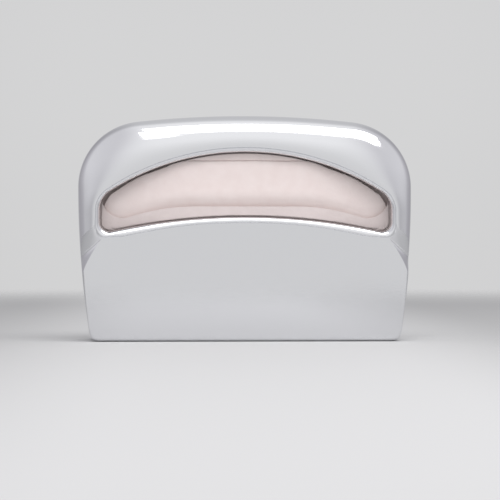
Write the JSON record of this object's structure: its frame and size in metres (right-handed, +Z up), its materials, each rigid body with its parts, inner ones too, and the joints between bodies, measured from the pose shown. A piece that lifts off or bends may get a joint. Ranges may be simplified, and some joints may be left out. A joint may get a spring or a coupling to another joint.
{
  "type": "toilet seat cover dispenser",
  "caption": "Wall-mounted dispenser for half-fold toilet seat covers: a plated moulded cover with a rolled hood and a crescent mouth, on a wall plate, with its paper packs inside.",
  "frame": {"origin": "centre of the four-hole wall screw pattern on the wall plane, halfway up the body", "axes": "+X to the right seen from the front, +Y into the wall, +Z up; the front faces -Y"},
  "size_m": [0.4064, 0.0825, 0.2736],
  "materials": {
    "chrome_plating": "bright chrome plating on moulded plastic",
    "plate_plastic": "fine matte moulded texture",
    "sleeve_paper": "smooth light wrapping paper",
    "tissue": "soft thin tissue with a faint pink cast"
  },
  "bodies": {
    "root": {"front_cover": "chrome_plating", "back_plate": "plate_plastic", "open_sleeve": "sleeve_paper", "folded_covers": "tissue", "spare_pack": "sleeve_paper"}
  },
  "joints": []
}
